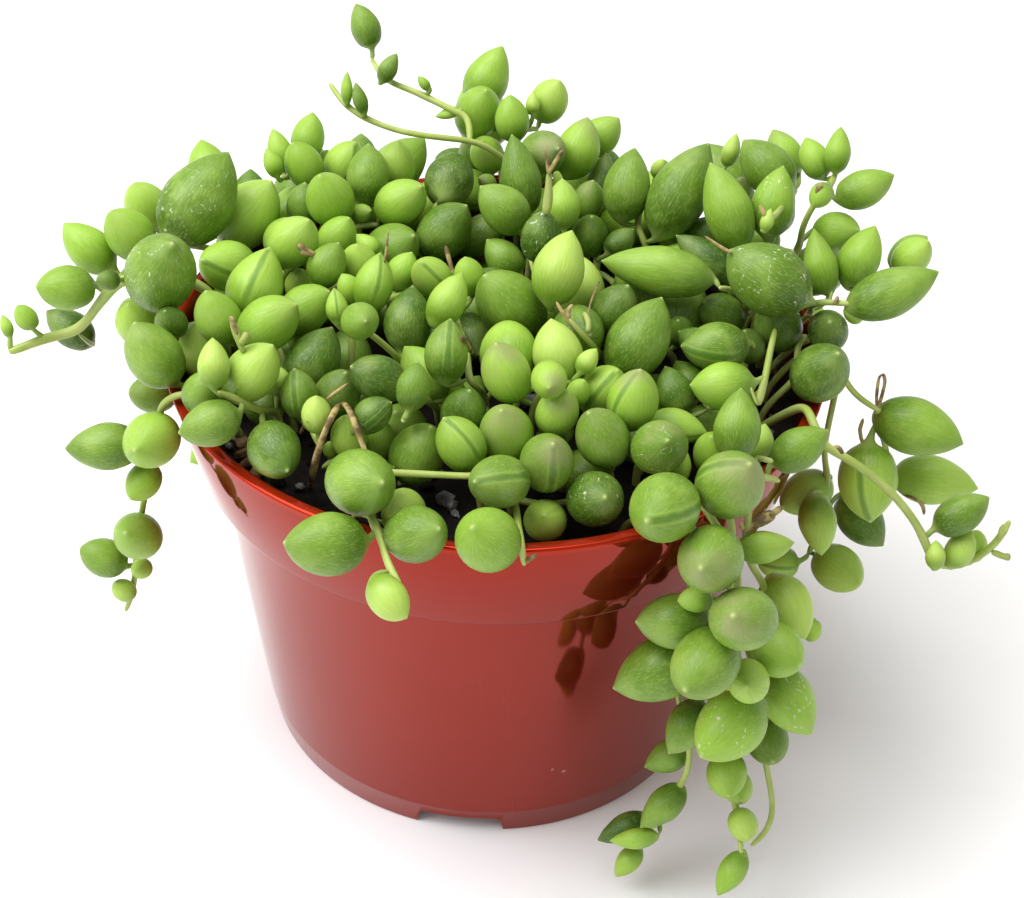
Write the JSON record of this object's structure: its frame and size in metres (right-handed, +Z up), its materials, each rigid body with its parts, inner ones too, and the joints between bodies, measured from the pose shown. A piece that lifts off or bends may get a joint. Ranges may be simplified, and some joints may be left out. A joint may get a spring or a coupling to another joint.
{
  "type": "potted string of tears",
  "caption": "Trailing succulent with plump teardrop leaves on thin stems, growing over the rim of a small terracotta-red nursery pot.",
  "frame": {"origin": "centre of the foot ring, at table level under the pot", "axes": "+Z up along the pot's axis, +X to the right and -Y toward the viewer of the pictured side"},
  "size_m": [0.159, 0.1315, 0.1036],
  "materials": {
    "pot": "glossy",
    "soil": "matte",
    "leaf": "satin",
    "dried": "matte"
  },
  "bodies": {
    "root": {"pot": "pot", "soil": "soil", "strand_back_left_inner": "leaf", "strand_back_left_row": "leaf", "strand_back_left_tip": "leaf", "strand_behind_left": "leaf", "strand_behind_left_middle": "leaf", "strand_behind_middle": "leaf", "strand_behind_right": "leaf", "strand_behind_right_middle": "leaf", "strand_centre_bright": "leaf", "strand_centre_dark": "leaf", "strand_centre_front_a": "leaf", "strand_centre_front_b": "leaf", "strand_centre_left": "leaf", "strand_centre_left_back": "leaf", "strand_centre_long": "leaf", "strand_centre_round": "leaf", "strand_centre_tall": "leaf", "strand_fork": "leaf", "strand_front_right": "leaf", "strand_front_right_rim": "leaf", "strand_front_rim_pair": "leaf", "strand_front_rim_spray": "leaf", "strand_front_round": "leaf", "strand_front_runner": "leaf", "strand_front_stripe": "leaf", "strand_hanging_left_tip": "leaf", "strand_hanging_low": "leaf", "strand_hanging_main": "leaf", "strand_hanging_right": "leaf", "strand_inner_front_left": "leaf", "strand_inner_left_bud": "leaf", "strand_inner_pair": "leaf", "strand_inner_ridged": "leaf", "strand_left_back": "leaf", "strand_left_hanging": "leaf", "strand_left_inner": "leaf", "strand_left_middle": "leaf", "strand_left_rim": "leaf", "strand_left_spray": "leaf", "strand_lying_leaf": "leaf", "strand_pale_bud": "leaf", "strand_right_back_pair": "leaf", "strand_right_back_spray": "leaf", "strand_right_back_spread": "leaf", "strand_right_back_tall": "leaf", "strand_right_big": "leaf", "strand_right_centre": "leaf", "strand_right_dark": "leaf", "strand_right_lower": "leaf", "strand_right_pale_stem": "leaf", "strand_right_spray": "leaf", "strand_right_striped": "leaf", "strand_right_under": "leaf", "strand_top_cluster": "leaf", "strand_top_cluster_right": "leaf", "strand_top_spray": "leaf", "strand_upright_bud": "leaf", "dried_twig": "dried"}
  },
  "joints": []
}
